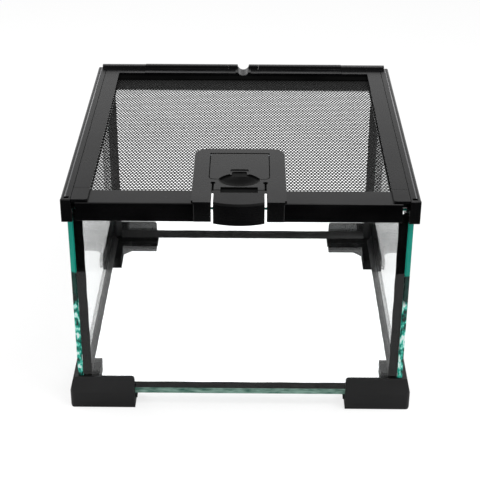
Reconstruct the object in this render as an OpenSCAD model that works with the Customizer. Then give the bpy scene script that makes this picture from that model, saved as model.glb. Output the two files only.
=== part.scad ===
// Reptile terrarium: a glass tank in a clipped-on frame, with a mesh lid that
// slides out to the front in two channels, a sprung front latch and a feeding hatch.
// Millimetres. X runs to the right, Y to the back, Z up, and the table is at Z = 0.
// Every section is drawn round the centre of the tank, and place() then moves the
// whole model so that the centre of its outline stands on the origin.

/* [Tank] */
// Outside width, over the two side panes
tank_w = 291; // [240:1:440]
// Outside depth, over the front and rear panes
tank_d = 297; // [240:1:440]
// Height of the four upright panes
pane_h = 184; // [140:1:320]
// Thickness of every pane
glass_t = 4; // [3:0.5:6]
// Height of the base pane above the table
base_z = 12; // [9:0.5:20]

/* [Silicone] */
// Width of the silicone band along an upright corner
corner_bead = 8.5; // [5:0.5:12]
// Height of the silicone band along the base pane
base_bead = 7; // [4:0.5:10]

/* [Feet] */
// Length of each arm of a corner foot
foot_arm = 58.5; // [40:0.5:80]
// Height of a corner foot above the table
foot_h = 31; // [24:0.5:45]
// How far a foot stands out from the glass at the sides
foot_side = 7.8; // [6:0.1:12]
// How far a foot stands out from the glass at the front and rear
foot_front = 6; // [5.5:0.1:12]
// Wall of a foot
foot_wall = 2.4; // [1.6:0.1:4]
// How far the ledge of a foot reaches under the base pane
foot_ledge = 15.5; // [12:0.5:32]

/* [Frame] */
// How far the frame stands out from the glass
rail_over = 4.5; // [4:0.1:8]
// Wall of the frame section
rail_wall = 2; // [1.4:0.1:2.6]
// How far the frame reaches down over the glass
rail_drop = 11; // [7:0.5:18]
// Clear height of the channel that the lid slides in
channel_h = 5.6; // [4.6:0.1:8]
// Thickness of the strips that cover the channels
cover_t = 2.4; // [1.8:0.1:3.5]
// Width of the strips that cover the channels
cover_w = 13.8; // [10:0.2:20]
// Height of the rim behind the rear strip
rim_h = 3.7; // [2:0.1:8]
// Length of the removable strip in the rear of the frame
insert_w = 202; // [90:1:220]
// Width of the cable inlet in the removable strip
inlet_w = 31; // [22:1:50]
// Radius of the cable notch in the inlet
notch_r = 5.8; // [3:0.1:5.9]

/* [Lid] */
// Clearance above and below the lid in its channels
lid_fit = 0.2; // [0.1:0.05:0.5]
// Distance by which the lid stands left of the middle, within its play
lid_play = 1.4; // [0:0.1:1.5]
// Depth of the front bar, from front to back
front_bar_d = 24; // [20:0.5:34]
// Height of the front bar's skirt
skirt_h = 17.4; // [12:0.2:22]
// Width of the rear bar
rear_bar_d = 18; // [12:0.5:26]
// Width of each side bar
side_bar_w = 10.6; // [9:0.2:14]
// Thickness of the mesh
mesh_t = 0.5; // [0.3:0.1:1]
// Mesh openings across the lid, and from front to back
mesh_cells = [16, 18]; // [4:1:17]

/* [Latch] */
// Width of the latch housing
latch_w = 79.6; // [76:0.2:100]
// How far the housing reaches back over the lid, from the lid's front face
latch_d = 104; // [98:1:130]
// Thickness of the housing above the front bar
plate_t = 2.4; // [2:0.1:3.5]
// Width of the sprung tongue
tongue_w = 43; // [36:0.5:48]
// Width of the slits beside the tongue
slit_w = 1.8; // [1.5:0.1:4]
// How far the middle of the tongue bulges out past its corners
tongue_bulge = 4.1; // [1:0.1:6]
// Thickness of the film that the tongue bends on
film_t = 0.7; // [0.5:0.05:1]
// Lift of the tongue at its limit, in degrees
tongue_lift = 12; // [6:1:15]

/* [Hatch] */
// Width of the feeding hatch
hatch_w = 51; // [44:0.5:54]
// Depth of the feeding hatch, from its hinge to its front edge
hatch_d = 52; // [48:0.5:54]
// Thickness of the feeding hatch
hatch_t = 1.5; // [1.4:0.1:2.2]
// Gap round the feeding hatch
hatch_gap = 0.9; // [0.3:0.1:1]
// Radius of the hatch's hinge pin
pin_r = 0.6; // [0.5:0.05:0.8]
// Clearance between the pin and the hatch
pin_fit = 0.06; // [0.03:0.01:0.1]

/* [Hidden] */

$fn = 48;
black = "#1c1c1e";
rubber = "#161616";
fit = 0.1;                 // gap between pieces that are clipped together
eps = 0.01;                // overrun of a cut past the face it leaves

// Tank levels and faces
side_out = tank_w / 2;
side_in = side_out - glass_t;
front_out = tank_d / 2;
front_in = front_out - glass_t;
floor_z = base_z + glass_t;
pane_top = floor_z + pane_h;

// Corner feet
foot_knee = 16;                        // height at which the outer faces start to lean in
foot_draw = 3.6;                       // how far the side faces lean in
foot_corner = 5;
foot_nub = 1.7;                        // how far the ledge runs past the end of an arm
foot_ledge_t = 5;
foot_bevel = 8;                        // bevel across the inner angle of the ledge
foot_ribs = [24, 40];                  // ribs below the ledge, from the outer face
foot_rib_t = 1.6;

// Frame levels and faces
runner_t = 1.9;
runner_z = pane_top + fit;             // underside of the runner, over the glass
channel_z = runner_z + runner_t;       // floor of the lid channel
cover_z = channel_z + channel_h;       // underside of the channel covers
frame_top = cover_z + cover_t;
skirt_z = pane_top - rail_drop;        // lower edge of the frame
grip_wall = 3;
runner_reach = 8;                      // how far the runner reaches in from the glass
deck_t = 4.2;
slot_z = cover_z + 0.4;
slot_h = 1.3;
slot_depth = 2.6;
bead_r = 1.75;
rim_short = 2 * bead_r + 1;            // how far the rear rim ends inside the frame's face
cap_t = 3;
cap_notch = [4, 3.5];                  // width and depth of the notch behind a cap
cap_notch_in = 2.5;                    // how far the notch starts inside the glass's outer face
spigot = 8;                            // length of the cap's spigot in the rail
seal_entry = 5;                        // how far the upright beads reach up into the frame
cover_gap = 0.4;                       // joint between the covers and the deck
strip_d = 8.1;                         // depth of the rear strip in front of that joint
rim_t = 5;
hook_t = 1.3;
rail_front = front_out + rail_over - cap_t;
mitre_shift = front_out - side_out;    // the corner joints run along Y = X + this

// Lid levels and faces
lid_z = channel_z + lid_fit;           // underside of the lid
lid_top = cover_z - lid_fit;
lid_front = front_out + rail_over;     // front face of the lid, as a distance
lid_rear = front_in - 0.6;
lid_half = side_in - lid_play - 0.3;   // half the width that runs in the channels
skirt_half = lid_half - 3.5;
bar_in = lid_half - side_bar_w;        // inner face of a side bar
ledge_in = bar_in - 6.2;               // inner edge of the ledge under the mesh
bar_roof = 2.8;
mesh_z = lid_top - 1.4;
slot_fit = 0.1;
mesh_grip = 3.6;                       // how far the mesh enters the bars
mesh_half = bar_in + mesh_grip;
front_bar_rear = lid_front - front_bar_d;
rear_bar_front = lid_rear - rear_bar_d;
bar_rib_t = 1.6;
key_w = 5.8;
key_t = 2;
key_x = bar_in + 2.2;                  // inner edge of the corner keys
key_roof = lid_z + 2.5;                // roof of the pocket over a key
key_arm = 16;                          // length of a key's arm in the side bar
key_in_front = front_bar_d - 10;       // and in the front and the rear bar
key_in_rear = rear_bar_d - 5;

// Latch levels and faces, from the lid's centre line
latch_top = lid_top + plate_t;
latch_rear = lid_front - latch_d;
slit_out = tongue_w / 2 + slit_w;
slit_in = tongue_w / 2 - 0.3;           // the notches in the bar start here
leg_w = 15;
leg_t = 2.4;
leg_drop = skirt_h - 0.7;
cut_y = lid_front - 16;                // rear edge of the cut-out in the front bar
hinge_y = lid_front - 20.7;            // line that the tongue bends on
film_z = lid_top + lid_fit;            // underside of the film and the tongue
hinge_z = film_z + film_t / 2;
groove = [31.6, 10.6];                 // width and depth of the groove over the film
key_hole_r = 2.2;
key_hole_y = lid_front - 34;
film_gap = 0.3;
tongue_side = lid_front + 3.5;         // front of the tongue at its corners
tongue_front = tongue_side + tongue_bulge;
tongue_low = lid_top - 17.2;
catch_gap = 0.3;

// Hatch and port
hatch_hinge = latch_rear + 11.6;       // hinge line of the hatch, as a distance
barrel_r = 1.4;
hatch_z = latch_top - hatch_t;
hatch_rib = 0.7;                       // depth of the stiffening rim below the hatch
hatch_rib_t = 1.2;
barrel_z = latch_top - barrel_r;
hatch_front = hatch_hinge + hatch_d - barrel_r;
port = [40, 26];
port_y = hatch_hinge + 6;
collar_w = 58;
collar_z = lid_z + 1.4;
collar_y = [latch_rear + 6, hatch_front + 12.4];
nub_r = 0.9;                           // snap nub beside the hatch
nub_out = 0.3;
nub_y = hatch_hinge + 19.5;
pin_half = hatch_w / 2 + 4;
pin_slip = 0.03;                       // clearance between the pin and the housing
dish_half = 17.8;
dish_depth = 4.6;
dish_reach = 12.4;
dish_y = hatch_front + 2.1;
lip = [16, 9.4];
screw_x = 34;
screw_y = [latch_rear + 18, hatch_front + 9];
screw_r = 1.3;
backing_t = mesh_z - collar_z - 0.2;

// Half the length of the model in front of and behind the tank's centre
reach_front = tongue_front;
reach_rear = front_out + foot_front;
stand_y = (reach_front - reach_rear) / 2;

// ---- shared helpers -------------------------------------------------------

// Puts a piece of the tank into the model's frame
module place() {
    translate([0, stand_y, 0]) children();
}

// Puts a piece of the lid into the model's frame, at its place within the play
module place_lid() {
    translate([-lid_play, stand_y, 0]) children();
}

// Extrudes a section drawn in X and Z along Y
module along_y(y0, y1) {
    translate([0, y1, 0]) rotate([90, 0, 0]) linear_extrude(y1 - y0) children();
}

// Extrudes a section drawn in Y and Z along X
module along_x(x0, x1) {
    translate([x0, 0, 0]) rotate([90, 0, 90]) linear_extrude(x1 - x0) children();
}

// A block between two corners
module block(low, high) {
    translate(low) cube(high - low);
}

// A rectangle between two corners
module area(low, high) {
    translate(low) square(high - low);
}

// A rectangle with all corners rounded
module round_area(low, high, r) {
    intersection() {
        area(low, high);
        union() {
            area([low.x + r, low.y], [high.x - r, high.y]);
            area([low.x, low.y + r], [high.x, high.y - r]);
            for (x = [low.x + r, high.x - r], y = [low.y + r, high.y - r])
                translate([x, y]) circle(r);
        }
    }
}

// A block whose edges are rounded in all three directions
module soft_block(low, high, r) {
    intersection() {
        translate([0, 0, low.z]) linear_extrude(high.z - low.z)
            round_area([low.x, low.y], [high.x, high.y], r);
        along_y(low.y, high.y) round_area([low.x, low.z], [high.x, high.z], r);
        along_x(low.x, high.x) round_area([low.y, low.z], [high.y, high.z], r);
    }
}

// Both sides of the plane X = 0
module both_sides() {
    children();
    mirror([1, 0, 0]) children();
}

// ---- glass ----------------------------------------------------------------

module glass(low, high) {
    color("#bfe3da", 0.35) place() block(low, high);
}

module base_pane() {
    glass([-side_out, -front_out, base_z], [side_out, front_out, floor_z]);
}

module front_pane() {
    glass([-side_in, -front_out, floor_z], [side_in, -front_in, pane_top]);
}

module rear_pane() {
    glass([-side_in, front_in, floor_z], [side_in, front_out, pane_top]);
}

module left_pane() {
    glass([-side_out, -front_out, floor_z], [-side_in, front_out, pane_top]);
}

module right_pane() {
    glass([side_in, -front_out, floor_z], [side_out, front_out, pane_top]);
}

// ---- silicone -------------------------------------------------------------

// Section of a tooled bead in the corner at the origin. It runs out along both
// axes to a thin edge, and a thumb has drawn its face hollow along one arc. The
// arc crosses the blank's sides halfway up twice the edge, so it leaves no sliver.
module bead_section(wide, high) {
    edge = 0.5;
    run = [wide - edge, high - edge];
    chord = norm(run);
    hollow_r = 0.75 * chord;
    lift = sqrt(hollow_r * hollow_r - chord * chord / 4);
    middle = [(wide + edge) / 2, (high + edge) / 2];
    difference() {
        polygon([[0, 0], [wide, 0], [wide, 2 * edge], [2 * edge, high], [0, high]]);
        translate(middle + [run.y, run.x] * lift / chord) circle(hollow_r, $fn = 64);
    }
}

// An upright bead between the base bead's top and the frame
module corner_seal(sx, sy) {
    color(rubber) place()
        mirror([sx > 0 ? 1 : 0, 0, 0]) mirror([0, sy > 0 ? 1 : 0, 0])
            translate([-side_in, -front_in, floor_z])
                linear_extrude(skirt_z + seal_entry - floor_z) bead_section(corner_bead, corner_bead);
}

module front_left_seal() { corner_seal(-1, -1); }
module front_right_seal() { corner_seal(1, -1); }
module rear_left_seal() { corner_seal(-1, 1); }
module rear_right_seal() { corner_seal(1, 1); }

// A bead along the base pane and the front pane, between the upright beads
module cross_seal(sy) {
    run = side_in - corner_bead;
    color(rubber) place() mirror([0, sy > 0 ? 1 : 0, 0])
        translate([0, -front_in, floor_z]) along_x(-run, run)
            bead_section(base_bead - 2, base_bead);
}

module front_base_seal() { cross_seal(-1); }
module rear_base_seal() { cross_seal(1); }

// A bead along the base pane and a side pane, between the upright beads
module side_seal(sx) {
    run = front_in - corner_bead;
    color(rubber) place() mirror([sx > 0 ? 1 : 0, 0, 0])
        translate([-side_in, 0, floor_z]) along_y(-run, run)
            bead_section(base_bead - 2, base_bead);
}

module left_base_seal() { side_seal(-1); }
module right_base_seal() { side_seal(1); }

// ---- corner feet ----------------------------------------------------------

// Outer shape of the front left foot: upright below, drawn in above foot_knee
module foot_body() {
    x0 = -side_out - foot_side;
    y0 = -front_out - foot_front;
    x1 = x0 + foot_arm;
    y1 = y0 + foot_arm;
    draw = [foot_draw, foot_front - foot_wall];
    intersection() {
        // plan, with a rounded outer corner
        linear_extrude(foot_h) difference() {
            round_area([x0, y0], [x1 + foot_corner, y1 + foot_corner], foot_corner);
            area([x1, y0 - 1], [x1 + 2 * foot_corner, y1 + 2 * foot_corner]);
            area([x0 - 1, y1], [x1 + 2 * foot_corner, y1 + 2 * foot_corner]);
        }
        // the side face leans in above the knee
        along_y(y0 - 1, y1 + 1) polygon([
            [x0 + 1.2, 0], [x0, 1.2], [x0, foot_knee], [x0 + draw.x, foot_h],
            [x1 + 1, foot_h], [x1 + 1, 0]
        ]);
        // the front face leans in above the knee
        along_x(x0 - 1, x1 + 1) polygon([
            [y0 + 0.6, 0], [y0, 0.6], [y0, foot_knee], [y0 + draw.y, foot_h],
            [y1 + 1, foot_h], [y1 + 1, 0]
        ]);
        // the upper corner of each arm's end is rounded
        along_y(y0 - 1, y1 + 1) arm_end(x0 - 1, x1);
        along_x(x0 - 1, x1 + 1) arm_end(y0 - 1, y1);
    }
}

// Section that rounds the upper corner at the end of an arm
module arm_end(a0, a1, r = 3) {
    difference() {
        area([a0, 0], [a1, foot_h]);
        translate([a1 - r, foot_h - r]) difference() {
            area([0, 0], [r + eps, r + eps]);
            circle(r);
        }
    }
}

// A foot is a shell: two walls beside the glass, a ledge under it and ribs below
module corner_foot() {
    x0 = -side_out - foot_side;
    y0 = -front_out - foot_front;
    glass_x = -side_out - fit;
    glass_y = -front_out - fit;
    inner_x = -side_out + foot_ledge;
    inner_y = -front_out + foot_ledge;
    far_x = x0 + foot_arm;
    far_y = y0 + foot_arm;
    ledge_low = base_z - foot_ledge_t;
    union() {
        difference() {
            foot_body();
            // room for the glass box
            block([glass_x, glass_y, base_z], [far_x + 1, far_y + 1, foot_h + 1]);
            // the hollow below the ledge, open to the table and crossed by ribs
            translate([0, 0, -1]) linear_extrude(ledge_low + 1) difference() {
                foot_inside(x0, y0, inner_x, inner_y, far_x, far_y);
                for (d = foot_ribs) {
                    area([x0 + d, y0], [x0 + d + foot_rib_t, inner_y]);
                    area([x0, y0 + d], [inner_x, y0 + d + foot_rib_t]);
                }
            }
            // the hollow between the outer wall and the glass
            block([x0 + foot_wall, glass_y + foot_arm / 4, ledge_low + 2],
                  [glass_x - 1.6, far_y - foot_wall, foot_knee]);
            // beyond the inner edge of the ledge nothing is left
            translate([0, 0, -1]) linear_extrude(base_z + 2) inner_void(inner_x, inner_y);
        }
        // the ledge runs on a little past the end of each arm
        block([far_x - eps, glass_y, ledge_low], [far_x + foot_nub, inner_y, base_z]);
        block([glass_x, far_y - eps, ledge_low], [inner_x, far_y + foot_nub, base_z]);
    }
}

// Plan of the open corner inside the ledge, with a bevel across its angle
module inner_void(inner_x, inner_y) {
    bevel = foot_bevel;
    far = foot_arm + foot_ledge;
    polygon([
        [inner_x + bevel, inner_y], [inner_x + far, inner_y], [inner_x + far, inner_y + far],
        [inner_x, inner_y + far], [inner_x, inner_y + bevel]
    ]);
}

// Plan of the hollow under the ledge: the foot's plan, less a wall all round
module foot_inside(x0, y0, inner_x, inner_y, far_x, far_y) {
    bevel = foot_bevel;
    w = foot_wall;
    polygon([
        [x0 + w, y0 + w], [far_x - w, y0 + w], [far_x - w, inner_y - w],
        [inner_x + bevel - w / 2, inner_y - w], [inner_x - w, inner_y + bevel - w / 2],
        [inner_x - w, far_y - w], [x0 + w, far_y - w]
    ]);
}

module foot(sx, sy) {
    color(black) place()
        mirror([sx > 0 ? 1 : 0, 0, 0]) mirror([0, sy > 0 ? 1 : 0, 0]) corner_foot();
}

module front_left_foot() { foot(-1, -1); }
module front_right_foot() { foot(1, -1); }
module rear_left_foot() { foot(-1, 1); }
module rear_right_foot() { foot(1, 1); }

// ---- frame ----------------------------------------------------------------

// Section of the frame over a pane whose outer face is at x = out. From outside
// to inside: skirt, grip for the glass, channel wall, and the runner for the lid.
module rail_section(out) {
    face = out + rail_over;
    inside = out - glass_t;
    difference() {
        union() {
            area([face - rail_wall, skirt_z], [face, frame_top - bead_r]);
            area([out + fit, skirt_z + 1.5], [out + fit + 1.3, runner_z]);
            area([inside - grip_wall, skirt_z], [inside - fit, runner_z]);
            area([inside - runner_reach, runner_z], [face, channel_z]);
            area([inside - fit, channel_z - eps], [inside - fit + rail_wall, frame_top]);
            area([inside - fit, frame_top - deck_t], [face - bead_r, frame_top]);
            area([face - 2 * bead_r, frame_top - deck_t], [face, frame_top - bead_r]);
            translate([face - bead_r, frame_top - bead_r]) circle(bead_r);
        }
        // slot for the tongue of the channel cover
        area([inside - fit - 1, slot_z], [inside - fit + slot_depth, slot_z + slot_h]);
        // the cover ends in a fine groove beside the deck
        area([inside - fit - 1, slot_z], [inside + fit, frame_top + 1]);
        // fine groove that sets the outer bead off from the deck
        area([face - 2 * bead_r - 0.3, frame_top - 0.5], [face - 2 * bead_r + 0.2, frame_top + 1]);
    }
}

// Everything on the side of a corner joint that belongs to the side rails
module side_of_mitre() {
    far = tank_w + tank_d;
    gap = fit / 2;
    translate([0, 0, -1]) linear_extrude(frame_top + rim_h + 2)
        polygon([
            [0, -far], [far, -far], [far, far + mitre_shift - gap], [0, mitre_shift - gap]
        ]);
}

// The right rail; the left one mirrors it
module side_rail() {
    end = front_out + rail_over;
    pane_edge = front_in - fit;
    difference() {
        intersection() {
            along_y(-rail_front, end) rail_section(side_out);
            side_of_mitre();
        }
        // room for the front pane and the silicone behind it
        block([0, -rail_front - 1, skirt_z - 1], [side_in - fit / 2, -pane_edge, runner_z]);
        // the runner starts behind the front pane
        block([0, -rail_front - 1, skirt_z - 1], [side_in - grip_wall, -pane_edge, channel_z + eps]);
        // the upright bead of silicone ends inside the grip wall
        corner_relief(-1);
        corner_relief(1);
        // notch behind the end cap
        cap_notch_x = side_out - cap_notch_in;
        block([cap_notch_x, -rail_front - 1, frame_top - deck_t],
              [cap_notch_x + cap_notch.x, -rail_front + cap_notch.y, frame_top + 1]);
    }
}

// Room in the grip walls for the tops of the upright beads
module corner_relief(sy) {
    reach = corner_bead + fit;
    y = sy * front_in;
    block([side_in - reach, min(y, y - sy * reach), skirt_z - 1],
          [side_in, max(y, y - sy * reach), skirt_z + seal_entry + fit]);
}

module right_rail() { color(black) place() side_rail(); }
module left_rail() { color(black) place() mirror([1, 0, 0]) side_rail(); }

// The rear rail carries a rim, and is lower where the removable strip sits
module rear_rail() {
    end = side_out + rail_over;
    color(black) place() difference() {
        union() {
            rear_length(end);
            rear_rim(insert_w / 2 + fit, end - rim_short);
        }
        both_sides() corner_relief(1);
        block([-insert_w / 2 - fit, front_in - fit - 1, frame_top - deck_t],
              [insert_w / 2 + fit, front_out + rail_over - rail_wall, frame_top + 1]);
        block([-insert_w / 2 - fit, front_in, cover_z],
              [insert_w / 2 + fit, front_out + rail_over + 1, frame_top + 1]);
    }
}

// The plain length of the rear rail, cut to the corner joints
module rear_length(end) {
    gap = fit / 2;
    intersection() {
        along_x(-end, end) rail_section(front_out);
        translate([0, 0, -1]) linear_extrude(frame_top + 2) polygon([
            [0, mitre_shift + gap], [end + 1, end + 1 + mitre_shift + gap],
            [-end - 1, end + 1 + mitre_shift + gap]
        ]);
    }
}

// The rim behind the rear strip, on both sides of the removable strips. It stands
// on the deck, and it ends just inside the bead of the side rails.
module rear_rim(from, to) {
    y1 = front_out + rail_over;
    both_sides() along_x(from, to) intersection() {
        round_area([y1 - rim_t, frame_top - rim_t], [y1, frame_top + rim_h - 0.4], 0.8);
        area([y1 - rim_t, frame_top], [y1, frame_top + rim_h]);
    }
}

// End cap of the right rail: a plate with a spigot in the hollow of the rail
module rail_cap() {
    face = side_out + rail_over;
    y1 = -rail_front - fit;
    y0 = -front_out - rail_over;
    inside = side_in - fit;
    hollow_x = [inside + rail_wall + fit, face - rail_wall - fit];
    hollow_z = [channel_z + fit, frame_top - deck_t - fit];
    notch_x = side_out - cap_notch_in + fit;
    difference() {
        union() {
            intersection() {
                soft_block([inside - 1, y0, skirt_z - 0.2], [face, y1 + 2, frame_top], 1);
                block([inside - 1, y0, skirt_z - 1], [face, y1, frame_top + 1]);
            }
            block([hollow_x[0], y1 - eps, hollow_z[0]], [hollow_x[1], y1 + spigot, hollow_z[1]]);
            block([max(notch_x, hollow_x[0]), y1 - eps, hollow_z[1] - eps],
                  [notch_x + cap_notch.x - 2 * fit, y1 + cap_notch.y, frame_top - 1.2]);
        }
        // the lid's edge slides past here
        block([0, y0 - 1, channel_z - fit], [inside, y1 + 1, frame_top + 1]);
    }
}

module right_rail_cap() { color(black) place() rail_cap(); }
module left_rail_cap() { color(black) place() mirror([1, 0, 0]) rail_cap(); }

// Plan of the right channel cover: a strip along the side that turns the corner
module cover_plan(grow) {
    x1 = side_in - cover_gap + grow;
    y1 = front_in - cover_gap + grow;
    x0 = side_in - cover_gap - cover_w;
    y0 = -front_out - rail_over + 1;
    round_front = 2.5;
    // the inner front corner is rounded
    difference() {
        area([x0, y0], [x1, y1]);
        translate([x0 + round_front, y0 + round_front]) difference() {
            rotate(180) area([0, 0], [round_front + 1, round_front + 1]);
            circle(round_front);
        }
    }
    // the arm that turns the corner ends at the removable strip
    area([insert_w / 2 + fit, front_in - cover_gap - strip_d], [x1, y1]);
}

module channel_cover() {
    seam_y = -front_bar_rear - 1;
    difference() {
        union() {
            translate([0, 0, cover_z]) linear_extrude(cover_t) cover_plan(0);
            // the tongue that clips into the slot of the rails
            translate([0, 0, slot_z + fit]) linear_extrude(slot_h - 2 * fit) difference() {
                cover_plan(slot_depth);
                area([0, -tank_d], [side_out + 10, -rail_front + cap_notch.y + 1]);
            }
        }
        // shallow witness line across the strip
        block([0, seam_y, frame_top - 0.25], [side_out, seam_y + 0.4, frame_top + 1]);
        // the end cap stands here
        block([side_in - fit - eps, -tank_d, cover_z - 1], [side_out + 10, -rail_front, frame_top + 1]);
    }
}

module right_channel_cover() { color(black) place() channel_cover(); }
module left_channel_cover() { color(black) place() mirror([1, 0, 0]) channel_cover(); }

// Section of the removable rear strip: a cover plate, a rim and one hook
module insert_section() {
    y1 = front_out + rail_over;
    inside = front_in - fit;
    top = frame_top + 0.3;
    hook = inside + rail_wall + fit;
    difference() {
        union() {
            area([front_in - cover_gap - strip_d, cover_z], [y1 - rim_t + 1, top]);
            round_area([y1 - rim_t, cover_z], [y1, frame_top + rim_h], 0.8);
            area([hook, channel_z + 1], [hook + hook_t, cover_z + eps]);
        }
        // the rim is cored from below
        area([y1 - rim_t + 1.4, cover_z - 1], [y1 - 1.4, frame_top + rim_h - 1.4]);
    }
}

// The right half of the removable strip, from the cable inlet to its end
module rear_strip() {
    color(black) along_x(inlet_w / 2 + fit, insert_w / 2) insert_section();
}

module right_rear_strip() { place() rear_strip(); }
module left_rear_strip() { place() mirror([1, 0, 0]) rear_strip(); }

// The cable inlet fills the gap in the strip and carries the half-round notch
module cable_inlet() {
    half = inlet_w / 2;
    y0 = front_in - cover_gap - strip_d - 0.4;
    y1 = front_out + rail_over;
    inside = front_in - fit;
    top = frame_top + rim_h;
    hook = inside + rail_wall + fit;
    color(black) place() difference() {
        union() {
            block([-half, y0, cover_z], [half, y1, frame_top + 0.3]);
            along_x(-half, half) round_area([y1 - rim_t, cover_z], [y1, top], 0.8);
            block([-half, hook, channel_z + 1], [half, hook + hook_t, cover_z + eps]);
            // collar round the notch
            along_y(y0, y1 - rim_t + 1) area([-notch_r - 2, cover_z], [notch_r + 2, frame_top + 1.2]);
        }
        along_y(y0 - 1, y1 + 1) translate([0, top]) circle(notch_r);
    }
}

// ---- lid frame ------------------------------------------------------------

// Slot in a bar for the edge of the mesh, from the bar's inner face
module mesh_slot(a0, a1) {
    area([a0, mesh_z - slot_fit], [a1, mesh_z + mesh_t + slot_fit]);
}

// Front bar: a wide top over a skirt, with a cut-out for the tongue
module lid_front_bar() {
    y0 = -lid_front;
    y1 = -front_bar_rear;
    slot_front = y1 - mesh_grip - 0.2;
    skirt_t = 2;
    cheek_t = 1.6;
    color(black) place_lid() difference() {
        union() {
            // top and rear wall run into both channels
            along_x(-lid_half, lid_half) difference() {
                area([y0 + cap_t + 0.6, lid_z], [y1, lid_top]);
                area([y0 - 1, lid_z - 1], [y1 - skirt_t, lid_top - bar_roof]);
            }
            // the part between the rails reaches out to the skirt
            along_x(-skirt_half, skirt_half) {
                round_area([y0, lid_top - skirt_h], [y0 + skirt_t, lid_top], 0.8);
                area([y0 + 1, lid_top - bar_roof], [y0 + cap_t + 1, lid_top]);
            }
            // cross ribs below the top
            for (k = [-3.5, -2.5, -1.5, 1.5, 2.5, 3.5])
                bar_rib(k * skirt_half / 3.8, y0 + 1, y1 - 1);
            // walls round the cut-out
            block([-slit_out - cheek_t, y0 + 1, lid_z],
                  [slit_out + cheek_t, -cut_y + cheek_t, lid_top - 1]);
            both_sides()
                block([slit_in - cheek_t, -cut_y, lid_z], [slit_out + cheek_t, y1, lid_top - 1]);
        }
        // cut-out for the tongue
        block([-slit_out, y0 - 1, 0], [slit_out, -cut_y, lid_top + 1]);
        // the slits beside the tongue run on down through the bar, under its rear lip
        both_sides() {
            block([slit_in, -cut_y - 1, 0], [slit_out, slot_front, lid_top + 1]);
            block([slit_in, -cut_y - 1, 0], [slit_out, y1 + 1, mesh_z]);
        }
        along_x(-mesh_half - slot_fit, mesh_half + slot_fit) mesh_slot(slot_front, y1 + 1);
        // the arms of the corner keys enter here
        both_sides() key_pocket(y1 - key_in_front - 1, y1 + 1);
    }
}

// A rib across the hollow of a bar
module bar_rib(x, y0, y1) {
    block([x - bar_rib_t / 2, y0, lid_z], [x + bar_rib_t / 2, y1, lid_top - bar_roof + 0.5]);
}

// Room for the arm of a corner key that runs from front to back
module key_pocket(y0, y1) {
    x0 = key_x - fit;
    block([x0, y0, lid_z - 1], [x0 + key_w + 2 * fit, y1, key_roof]);
}

// Side bar: channelled from below, slotted for the mesh, with a ledge under it
module side_bar() {
    y0 = -front_bar_rear + fit;
    y1 = rear_bar_front - fit;
    along_y(y0, y1) difference() {
        union() {
            area([bar_in, lid_z], [lid_half, lid_top]);
            area([ledge_in, mesh_z - slot_fit - 1.8], [bar_in + 1, mesh_z - slot_fit]);
        }
        area([key_x - fit, lid_z - 1], [key_x + key_w + fit, key_roof]);
        mesh_slot(bar_in - 1, bar_in + mesh_grip + 0.2);
    }
}

module lid_right_bar() { color(black) place_lid() side_bar(); }
module lid_left_bar() { color(black) place_lid() mirror([1, 0, 0]) side_bar(); }

// Rear bar: the same construction, wider, and stiffened by ribs
module lid_rear_bar() {
    y0 = rear_bar_front;
    y1 = lid_rear;
    wall = 2;
    color(black) place_lid() difference() {
        union() {
            along_x(-lid_half, lid_half) difference() {
                area([y0, lid_z], [y1, lid_top]);
                area([y0 + wall, lid_z - 1], [y1 - wall, lid_top - bar_roof]);
                mesh_slot(y0 - 1, y0 + mesh_grip + 0.2);
            }
            for (k = [-3 : 3])
                bar_rib(k * skirt_half / 3.6, y0 + 1, y1 - 1);
            both_sides() block([lid_half - 1.8, y0 + 1, lid_z], [lid_half, y1 - 1, lid_top - 1]);
        }
        both_sides() key_pocket(y0 - 1, y0 + key_in_rear + 1);
    }
}

// Four keys that join the bars at the corners of the lid
module lid_corner_keys() {
    z0 = key_roof - fit - key_t;
    front_y = -front_bar_rear;
    rear_y = rear_bar_front;
    color("#3a3a3c") place_lid() both_sides() {
        block([key_x, front_y - key_in_front, z0], [key_x + key_w, front_y + key_arm, z0 + key_t]);
        block([key_x, rear_y - key_arm, z0], [key_x + key_w, rear_y + key_in_rear, z0 + key_t]);
    }
}

// ---- mesh -----------------------------------------------------------------

// The screen, with staggered openings that leave out the latch and the edges
module mesh_screen() {
    y0 = -front_bar_rear - mesh_grip;
    y1 = rear_bar_front + mesh_grip;
    cols = mesh_cells.x;
    rows = mesh_cells.y;
    open_x = 2 * (ledge_in - 1);
    open_y = rear_bar_front + front_bar_rear - 2;
    step = [open_x / (cols + 0.5), open_y / rows];
    hole_r = min(step.x, step.y) * 0.42;
    latch_half = latch_w / 2 + hole_r;
    color("#141414") place_lid() translate([0, 0, mesh_z]) linear_extrude(mesh_t) difference() {
        area([-mesh_half, y0], [mesh_half, y1]);
        collar_hole(0.3);
        for (x = [-screw_x, screw_x], y = screw_y)
            translate([x, -y]) circle(screw_r);
        for (j = [0 : rows - 1], i = [0 : cols - 1]) {
            x = -open_x / 2 + (i + (j % 2 == 0 ? 0.5 : 1)) * step.x;
            y = -front_bar_rear + 1 + (j + 0.5) * step.y;
            if (abs(x) > latch_half || y > -latch_rear + hole_r)
                translate([x, y]) circle(hole_r, $fn = 6);
        }
    }
}

// Plan of the hole that the housing's collar passes through
module collar_hole(grow) {
    round_area([-collar_w / 2 - grow, -collar_y[1] - grow],
               [collar_w / 2 + grow, -collar_y[0] + grow], 4);
}

// ---- latch housing --------------------------------------------------------

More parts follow.
